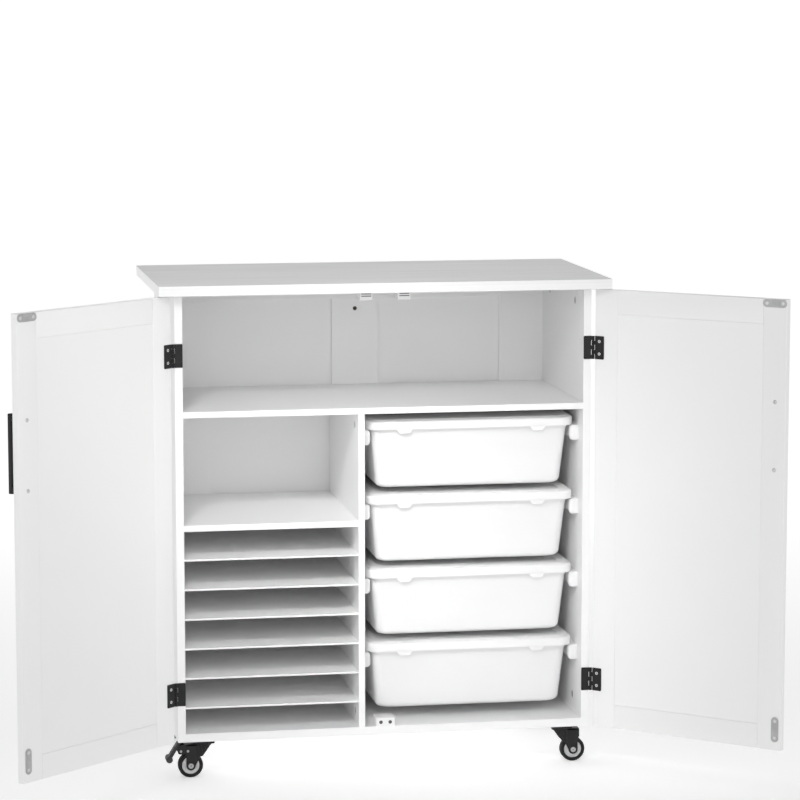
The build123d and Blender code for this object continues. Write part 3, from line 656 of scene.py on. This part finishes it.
def add_handle(hand, matrix):
    """A square bar with softened edges on two feet that flare where they meet the door."""
    low, high = local_box(f"{hand}_handle", matrix)
    middle, half = (low + high) / 2, (high - low) / 2
    half_bar = HANDLE_BAR / 2
    bar = Vector((middle.x, high.y - half_bar, 0))
    bm = bmesh.new()
    ends = [
        (inset * MM, half.z - height * MM)
        for inset, height in ((1.2, 0), (0.35, 0.35), (0, 1.2))
    ]
    sections = [(inset, -reach) for inset, reach in ends] + ends[::-1]
    loops = [
        rounded_loop(bar, half.x - inset, half_bar - inset, HANDLE_CORNER, middle.z + reach, 4)
        for inset, reach in sections
    ]
    loft(bm, [[matrix @ p for p in loop] for loop in loops])
    foot_frame = matrix @ SWAP_YZ
    for end in (-1, 1):
        centre = Vector((middle.x, middle.z + end * HANDLE_CENTRES / 2, 0))
        loops = [
            rounded_loop(
                centre,
                half.x + (flare - HANDLE_FOOT_INSET) * MM,
                half_bar + flare * MM,
                HANDLE_CORNER,
                low.y + level * MM,
                4,
            )
            for flare, level in HANDLE_FLARE
        ]
        loft(bm, [[foot_frame @ p for p in loop] for loop in loops])
    replaced = (f"{hand}_handle",)
    add_piece(f"{hand}_bar_handle", bm, BLACK, f"{hand}_door", replaced)


PANEL_EDGE = 1.2 * MM
STRIKER_EDGE = 0.35 * MM
BOARD_CORNER = 0.5 * MM

# (inset, depth below the board's face) in millimetres
EASED_EDGE = ((1.3, 0), (0.6, 0.2), (0.2, 0.6), (0, 1.6))


def add_door_board(bm, low, high, matrix):
    """A stile or rail with eased edges, which leave a fine groove where two boards meet."""
    low, high = Vector(low), Vector(high)
    middle, half = (low + high) / 2, (high - low) / 2
    centre = Vector((middle.x, middle.z))
    sections = [(inset, low.y + level * MM) for inset, level in EASED_EDGE]
    sections += [(inset, high.y - level * MM) for inset, level in EASED_EDGE[::-1]]
    loops = [
        rounded_loop(centre, half.x - inset * MM, half.z - inset * MM, BOARD_CORNER, level, 2)
        for inset, level in sections
    ]
    stand = matrix @ SWAP_YZ
    loft(bm, [[stand @ p for p in loop] for loop in loops])


def add_door(hand, side):
    """A door's panel keeps its CAD shape; its frame and metalwork are modelled in detail."""
    matrix = hinge_matrix(side, DOOR_OPEN)
    body = f"{hand}_door"
    bm = bmesh.new()
    for points in solids(f"{hand}_door_frame"):
        corners = [matrix.inverted() @ Vector(p) for p in points]
        add_door_board(bm, np.min(corners, 0), np.max(corners, 0), matrix)
    add_piece(f"{hand}_door_boards", bm, WHITE, body, (f"{hand}_door_frame",))
    finish_node(f"{hand}_door_panel", WHITE, PANEL_EDGE)
    finish_node(f"{hand}_striker_plates", ZINC, STRIKER_EDGE)
    inward = matrix.to_3x3() @ FRONT
    screws = f"{hand}_door_screws"
    add_screws(f"{hand}_door_screw_heads", screws, inward, BRIGHT_ZINC, body)
    bm = bmesh.new()
    node = f"{hand}_door_hinge_leaves"
    reach = local_box(node, matrix)[1].x
    for points in solids(node):
        add_leaf(bm, matrix, 1, points[:, 2].min(), reach, 1)
    add_piece(f"{hand}_door_leaves", bm, BLACK, body, (node,), LEAF_EDGE)
    add_handle(hand, matrix)


for hand, side in HANDS.items():
    add_door(hand, side)

# ---------------------------------------------------------------- bins
# Bin and lid sections are (inset, height) in millimetres, from the lid's outer wall and top
LID_CORNER = 28
LEAST_CORNER = 18.7
LID_SKIRT = 18
TAB_SPREAD = 0.64
WALL_TOP = (9, -4.9)
WALL_DRAFT = 14 / 128
FOOT_HEIGHT = -121


def corner_radius(inset):
    """Plan radius of a bin's corner, which tightens towards the inside."""
    return max(LID_CORNER - inset, LEAST_CORNER) * MM


def bin_loops(profile, centre, half, top):
    """Level loops of a bin or lid, from its section."""
    return [
        rounded_loop(
            centre,
            half.x - inset * MM,
            half.y - inset * MM,
            corner_radius(inset),
            top + height * MM,
        )
        for inset, height in profile
    ]


LID_PROFILE = [
    (120, -1.6),
    (60, -1.8),
    (26, -2.0),
    *arc(24, -0.9, 1.1, 270, 360, 3),
    *arc(21.8, -0.9, 0.9, 0, 90, 3)[1:],
    (16, 0),
    *arc(11.5, -0.6, 0.6, 90, 170, 2),
    *arc(9.6, -0.6, 0.6, 350, 270, 2),
    (6, -1.25),
    *arc(4.4, -5.6, 4.35, 90, 180, 6),
    (0, -12),
    *arc(0.9, -17.1, 0.9, 180, 270, 3),
    *arc(1.3, -17.1, 0.9, 270, 360, 3),
    (2.2, -8),
    *arc(4.6, -5.2, 2.4, 180, 90, 3),
    (17, -2.8),
    (21, -4.4),
    (60, -4.2),
    (120, -4.1),
]


def wall_inset(height):
    """How far the tub's outer wall has drawn in at a height below the lid's top."""
    inset, top = WALL_TOP
    return inset + WALL_DRAFT * (top - height)


def tub_profile():
    """Closed section of a tub's wall, from the middle of its floor inside, over the rim, to the
    middle of its floor outside."""
    foot = wall_inset(FOOT_HEIGHT) + 12
    inside = [(120, -130.6), (60, -130.8)]
    foot_inside = arc(foot, FOOT_HEIGHT, 9.8, 270, 187, 6)
    mouth = [(wall_inset(-9) + 2.2, -9), *arc(wall_inset(-7) + 0.2, -7, 2.1, 0, 90, 4)]
    lip = [(7, -4.9), *arc(5.6, -7.7, 2.8, 90, 180, 4), (2.8, -12)]
    hem = [*arc(3.6, -16.8, 0.8, 180, 270, 2), *arc(4.4, -16.8, 0.8, 270, 360, 2)]
    under = [(5.2, -9.6), *arc(6.4, -8.4, 1.1, 180, 90, 3)]
    outside = [(wall_inset(-9), -9), (wall_inset(-24), -24), (wall_inset(-25) + 0.7, -25.2)]
    foot_outside = arc(foot, FOOT_HEIGHT, 12, 187, 270, 7)
    floor = [(60, -132.9), (66, -132), (120, -131.8)]
    return inside + foot_inside + mouth + lip + hem + under + outside + foot_outside + floor


def lid_tabs(bm, centre, half, skirt_bottom):
    """Finger tabs that hang from the lid's front and back skirts."""
    wide, narrow, drop = 14.5 * MM, 9.5 * MM, 7.5 * MM
    right = [(wide, wide / 2), (wide, 0), (narrow, -drop)]
    left = [(-x, y) for x, y in right[::-1]]
    shoulder, tip = 2.5 * MM, 4 * MM
    outline = rounded_outline(left[-1:] + right + left[:-1], [0, 0, shoulder, tip, tip, shoulder])
    for end in (-1, 1):
        for offset in (-TAB_SPREAD, TAB_SPREAD):
            point = Vector((centre.x + offset * half.x, centre.y + end * half.y, skirt_bottom))
            matrix = facing(point, (0, end, 0), (1, 0, 0)) @ Matrix.Diagonal((1, -end, 1, 1))
            slab(bm, outline, -2.1 * MM, -0.1 * MM, matrix)


for number in BINS:
    lid_low, lid_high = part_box(f"bin_{number}_lid")
    centre, half = (lid_low + lid_high) / 2, (lid_high - lid_low) / 2

    bm = bmesh.new()
    loft(bm, bin_loops(LID_PROFILE, centre, half, lid_high.z))
    lid_tabs(bm, centre, half, lid_high.z - LID_SKIRT * MM)
    name, body, replaced = f"bin_{number}_lid_moulding", f"lid_{number}", f"bin_{number}_lid"
    add_piece(name, bm, PLASTIC, body, (replaced,))

    bm = bmesh.new()
    loft(bm, bin_loops(tub_profile(), centre, half, lid_high.z))
    name, body, replaced = f"bin_{number}_tub_moulding", f"bin_{number}", f"bin_{number}_tub"
    add_piece(name, bm, PLASTIC, body, (replaced,))

# ---------------------------------------------------------------- runners
# Sections of (inset, distance from the front end) in millimetres, up to the bar, which runs
# to the back with an even inset
RUNNER_KNOB = (
    (5.0, 0),
    (2.6, 0.4),
    (1.1, 1.4),
    (0.3, 3.0),
    (0, 5.0),
    (0, 11.0),
    (0.3, 11.8),
    (1.4, 12.4),
    (1.6, 14),
)
RUNNER_BAR = 1.6
RUNNER_ROUND = 7 * MM
RUNNER_CORNER = 0.4 * MM


def add_runners():
    """Moulded rails with a rounded free side, and a full knob at the front end."""
    bm = bmesh.new()
    for points in solids("bin_runners"):
        low, high = Vector(points.min(0)), Vector(points.max(0))
        hand = 1 if low.x < 0 else -1
        wall, free = (low.x, high.x) if hand > 0 else (high.x, low.x)
        sections = [(inset, low.y + along * MM) for inset, along in RUNNER_KNOB]
        loops = []
        for inset, y in sections + [(RUNNER_BAR, high.y)]:
            depth = inset * MM
            bottom, top, side = low.z + depth, high.z - depth / 4, free - hand * depth
            outline = rounded_outline(
                [(wall, bottom), (side, bottom), (side, top), (wall, top)],
                [RUNNER_CORNER, RUNNER_ROUND, RUNNER_ROUND, RUNNER_CORNER],
                8,
            )
            loops.append([Vector((x, y, z)) for x, z in outline])
        loft(bm, loops)
    add_piece("bin_runner_mouldings", bm, PLASTIC, "root", ("bin_runners",))


add_runners()

# ---------------------------------------------------------------- casters
# Lengths are in millimetres in the frame that caster_matrix gives
CHEEK = (9.8, 12.3)
KING_PIN_X = -24
WEB = (39, 41.5)
WEB_ENDS = (-39, 12)
BRAKED_TAIL = 25
PLAIN_TAIL = 12
RIBS = ((-14, 11), (-20, 20), (-27, 28))
RIVETS = ((19, 29), (5.7, 29))
AXLE_CAP = (5.2, 1.9)
RIVET_HEAD = (2.4, 0.9)
PEDAL_TOP = (23, 42)
PEDAL_TOE = (41, 13)
PEDAL_HALF_WIDTH = 9.1
PEDAL_FACE = 3.6
PEDAL_RIDGES = 4
RIDGE_START = 9
RIDGE_PITCH = 4.2
TO_AXLE = Matrix(((1, 0, 0, 0), (0, 0, -1, 0), (0, 1, 0, 0), (0, 0, 0, 1)))


def caster_matrix(name):
    """Frame of a caster in millimetres, at the middle of its wheel: X runs outwards along the
    trail, Y across the wheel and Z up."""
    low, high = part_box(f"caster_{name}_hub")
    turn = Matrix.Diagonal((CASTERS[name] * MM, MM, MM, 1))
    return Matrix.Translation((low + high) / 2) @ turn


def on_cheek(matrix, x, z, end):
    """Frame on a cheek's outer face, whose Z axis points away from the wheel."""
    turn = Matrix.Rotation(math.radians(-90 * end), 4, "X")
    return matrix @ Matrix.Translation((x, end * CHEEK[1], z)) @ turn


def add_cheeks(bm, matrix, braked):
    """The two legs of the fork, pressed from sheet, with ribs and a boss round the axle."""
    tail = BRAKED_TAIL if braked else PLAIN_TAIL
    back, front = WEB_ENDS
    lowest = arc(0, 0, 9, 180, 360, 12)
    outline = lowest + rounded_outline(
        [(9, 23), (tail, 23), (tail, 38), (front, WEB[1]), (back, WEB[1]), (-22, 17)],
        [3, 4, 5, 1, 3, 6],
    )
    for end in (-1, 1):
        inner, outer = sorted((-end * CHEEK[0], -end * CHEEK[1]))
        slab(bm, outline, inner, outer, matrix @ TO_AXLE)
        boss = on_cheek(matrix, 0, 0, end)
        lathe(bm, [(7.6, -0.5), (7.6, 0.3), (7.0, 0.8), (0.1, 0.8)], boss, 32)
        for x, foot in RIBS:
            rib = matrix @ Matrix.Translation((x, end * (CHEEK[1] - 0.2), 0))
            profile = [(0.1, foot), (1.0, foot + 0.4), (1.5, foot + 2), (1.5, 39), (0.1, 40.5)]
            lathe(bm, profile, rib, 16)


def add_fork(name, matrix, braked):
    """A pressed fork with its web, and the swivel race over it."""
    bm = bmesh.new()
    add_cheeks(bm, matrix, braked)
    (back, front), wide = WEB_ENDS, CHEEK[1]
    corners = [(back, -wide), (front, -wide), (front, wide), (back, wide)]
    web = rounded_outline(corners, [4] * 4)
    slab(bm, web, *WEB, matrix)
    race = matrix @ Matrix.Translation((KING_PIN_X, 0, 0))
    dome = [(0.1, 39.2), (17, 39.2), (17, 41), (16.4, 42.6), *arc(14.6, 42.6, 1.5, 0, 90, 3)]
    lathe(bm, dome + [(4, 44.1), (0.1, 44.1)], race, 40)
    lathe(bm, [(0.1, 42), (3.9, 42), (3.9, 48), (0.1, 48)], race, 24)
    name, body, replaced = f"caster_{name}_pressed_fork", f"caster_{name}", f"caster_{name}_fork"
    add_piece(name, bm, BLACK, body, (replaced,), 0.5 * MM)


def add_axle_caps(name, matrix, braked):
    """Riveted ends of the axle and of the brake's pins."""
    bm = bmesh.new()
    sites = [((0, 0), *AXLE_CAP)] + [(site, *RIVET_HEAD) for site in RIVETS] * braked
    for (x, z), radius, proud in sites:
        dimple = radius * 0.34
        profile = [(0.05, -1), (radius, -1), (radius, 0.45 * proud)]
        profile += [(radius * 0.86, 0.85 * proud), (radius * 0.6, proud), (dimple * 1.2, proud)]
        profile += [(dimple, 0.75 * proud), (dimple * 0.6, 0.4 * proud), (0.05, 0.35 * proud)]
        for end in (-1, 1):
            lathe(bm, profile, on_cheek(matrix, x, z, end), 32)
    add_piece(f"caster_{name}_rivets", bm, ZINC, f"caster_{name}", angle=50)


def mirrored(half_profile):
    """A ring's section that is the same on both sides of the wheel's middle."""
    return half_profile + [(radius, -height) for radius, height in half_profile[::-1]]


def add_wheel(name, matrix):
    """A hub with a dished ring and a raised boss, and a crowned tyre with two tread lines."""
    axle = matrix @ TO_AXLE
    bm = bmesh.new()
    side = [(4.06, 8.7), (4.5, 9.0), (9.2, 9.0), (9.9, 8.6), (10.3, 7.0), (10.9, 6.7)]
    side += [(12.2, 7.6), (14.2, 8.0), (16.0, 7.7), (16.6, 7.0), (17.0, 6.6)]
    lathe(bm, mirrored(side), axle, 64, ring=True)
    body, hub, tyre = f"wheel_{name}", f"caster_{name}_hub", f"caster_{name}_tyre"
    add_piece(f"caster_{name}_moulded_hub", bm, HUB, body, (hub,), angle=45)
    bm = bmesh.new()
    side = [(17.0, 7.6), (17.2, 8.2), (18.2, 8.9), (19.4, 9.0), *arc(20.6, 5.6, 3.4, 90, 12, 6)]
    side += [(23.95, 3.4), (23.5, 3.1), (23.5, 2.7), (23.95, 2.4), (23.98, 0.6)]
    lathe(bm, mirrored(side), axle, 72, ring=True)
    add_piece(f"caster_{name}_rubber_tyre", bm, RUBBER, body, (tyre,), angle=40)


def add_pedal(name, matrix):
    """A moulded brake lever on its pin, with grip ridges and a rounded toe bar."""
    bm = bmesh.new()
    top, toe = Vector(PEDAL_TOP), Vector(PEDAL_TOE)
    run = (toe - top).normalized()
    side = Vector((-run.y, run.x))
    face = side * PEDAL_FACE
    corners = [top - run * 3.4 + face, top - run * 3.4 - side * 2.6]
    corners += [toe - side * 3.2, toe + face]
    across, wide = matrix @ TO_AXLE, PEDAL_HALF_WIDTH
    slab(bm, rounded_outline(corners, [3, 2, 1, 1]), -wide, wide, across)
    pivot = across @ Matrix.Translation((*RIVETS[0], 0))
    lathe(bm, [(0.1, -wide), (4, -wide), (4, wide), (0.1, wide)], pivot, 32)
    for step in range(PEDAL_RIDGES):
        ridge = top + run * (RIDGE_START + RIDGE_PITCH * step) + face
        rod = across @ Matrix.Translation((*ridge, 0))
        lathe(bm, [(0.1, -8.4), (0.9, -8), (0.9, 8), (0.1, 8.4)], rod, 16)
    bar = across @ Matrix.Translation((*toe, 0))
    rounded = [(0.1, -14), *arc(4.0, -11.5, 2.5, 270, 360, 5)]
    rounded += [*arc(4.0, 11.5, 2.5, 0, 90, 5), (0.1, 14)]
    lathe(bm, rounded, bar, 32)
    body, replaced = f"brake_{name}", f"brake_pedal_{name}"
    add_piece(f"{name}_brake_lever", bm, PEDAL, body, (replaced,), 0.5 * MM)


def add_plates():
    """Pressed top plates with a turned-down lip, and the swivel cup in the middle."""
    bm = bmesh.new()
    for points in solids("caster_plates"):
        low, high = Vector(points.min(0)), Vector(points.max(0))
        middle, half = (low + high) / 2, (high - low) / 2
        lip = [(18, -2.5), (2.4, -2.5), (1.6, -3.2), (1.5, -5.3), (1.2, -5.5), (0.3, -5.5)]
        lip += [(0, -5.2), (0, -1), (0.3, -0.3), (1, 0), (18, 0)]
        loops = [
            rounded_loop(
                middle,
                half.x - inset * MM,
                half.y - inset * MM,
                max(4.5 - inset, 2.5) * MM,
                high.z + level * MM,
                5,
            )
            for inset, level in lip
        ]
        loft(bm, loops)
        cup = Matrix.Translation((middle.x, middle.y, high.z)) @ Matrix.Scale(MM, 4)
        section = [(4.3, -2.2), (4.3, -5.4), (10.5, -5.4)]
        section += [*arc(11.5, -3.9, 1.5, 270, 360, 3), (13, -2.2)]
        lathe(bm, section, cup, 40, ring=True)
    replaced = ("caster_plates",)
    add_piece("caster_top_plates", bm, BLACK, "root", replaced, angle=50)


add_plates()
for name, side in CASTERS.items():
    matrix = caster_matrix(name)
    braked = side < 0
    add_fork(name, matrix, braked)
    add_axle_caps(name, matrix, braked)
    add_wheel(name, matrix)
    if braked:
        add_pedal(name, matrix)

# ---------------------------------------------------------------- studio
FLOOR_REACH = 300
floor_mesh = bpy.data.meshes.new("floor")
floor_mesh.from_pydata(
    [(x * FLOOR_REACH, y * FLOOR_REACH, 0) for x, y in ((-1, -1), (1, -1), (1, 1), (-1, 1))],
    [],
    [(0, 1, 2, 3)],
)
floor_mesh.materials.append(studio_floor())
studio = bpy.data.objects.new("floor", floor_mesh)
bpy.context.scene.collection.objects.link(studio)
studio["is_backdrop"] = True


MIDDLE = Vector((0, 0, 0.5))


def area_light(name, position, size, power, spread=180):
    """A soft box that points at the middle of the cabinet."""
    data = bpy.data.lights.new(name, "AREA")
    data.shape = "RECTANGLE"
    data.size, data.size_y = size
    data.energy = power
    data.spread = math.radians(spread)
    light = bpy.data.objects.new(name, data)
    light.location = position
    light.rotation_mode = "QUATERNION"
    light.rotation_quaternion = (MIDDLE - Vector(position)).to_track_quat("-Z", "Y")
    bpy.context.scene.collection.objects.link(light)


area_light("front", (-0.5, -5.2, 2.3), (3.4, 2.2), 30)
area_light("inside", (-0.8, -2.2, 2.15), (0.7, 0.5), 1.2, spread=22)
area_light("back", (0.5, 3.8, 2.6), (3.0, 2.0), 26)


def studio_world(horizon, zenith):
    """White walls all round that fade upwards to a darker ceiling."""
    world = bpy.data.worlds.new("studio")
    world.use_nodes = True
    nodes, links = world.node_tree.nodes, world.node_tree.links
    direction = nodes.new("ShaderNodeTexCoord")
    split = nodes.new("ShaderNodeSeparateXYZ")
    rise = nodes.new("ShaderNodeMath")
    rise.operation = "SUBTRACT"
    rise.use_clamp = True
    rise.inputs[0].default_value = 1.0
    curve = nodes.new("ShaderNodeMath")
    curve.operation = "POWER"
    curve.inputs[1].default_value = 3.0
    fade = nodes.new("ShaderNodeMapRange")
    fade.inputs["To Min"].default_value = zenith
    fade.inputs["To Max"].default_value = horizon
    links.new(direction.outputs["Generated"], split.inputs["Vector"])
    links.new(split.outputs["Z"], rise.inputs[1])
    links.new(rise.outputs["Value"], curve.inputs[0])
    links.new(curve.outputs["Value"], fade.inputs["Value"])
    background = nodes["Background"]
    background.inputs["Color"].default_value = (1, 1, 1, 1)
    links.new(fade.outputs["Result"], background.inputs["Strength"])
    return world


bpy.context.scene.world = studio_world(horizon=1.0, zenith=0.33)
bpy.context.scene.view_settings.view_transform = "Standard"
bpy.context.scene.view_settings.gamma = 1.15

# ---------------------------------------------------------------- camera
# The camera stands off from the middle of the worktop's front edge
CAMERA_FROM_WORKTOP = Vector((-1.0269, -5.9009, 0.5834))
CAMERA_YAW = math.radians(10.08)
CAMERA_PITCH = math.radians(7.66)
camera_data = bpy.data.cameras.new("camera")
camera_data.lens = 144.3
camera_data.sensor_width = 36
camera_data.clip_end = 1000
camera = bpy.data.objects.new("camera", camera_data)
camera.location = Vector((0, worktop_low.y, worktop_high.z)) + CAMERA_FROM_WORKTOP
look = Vector(
    (
        math.sin(CAMERA_YAW) * math.cos(CAMERA_PITCH),
        math.cos(CAMERA_YAW) * math.cos(CAMERA_PITCH),
        -math.sin(CAMERA_PITCH),
    )
)
camera.rotation_mode = "QUATERNION"
camera.rotation_quaternion = look.to_track_quat("-Z", "Y")
bpy.context.scene.collection.objects.link(camera)
bpy.context.scene.camera = camera

bpy.context.view_layer.update()
low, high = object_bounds()
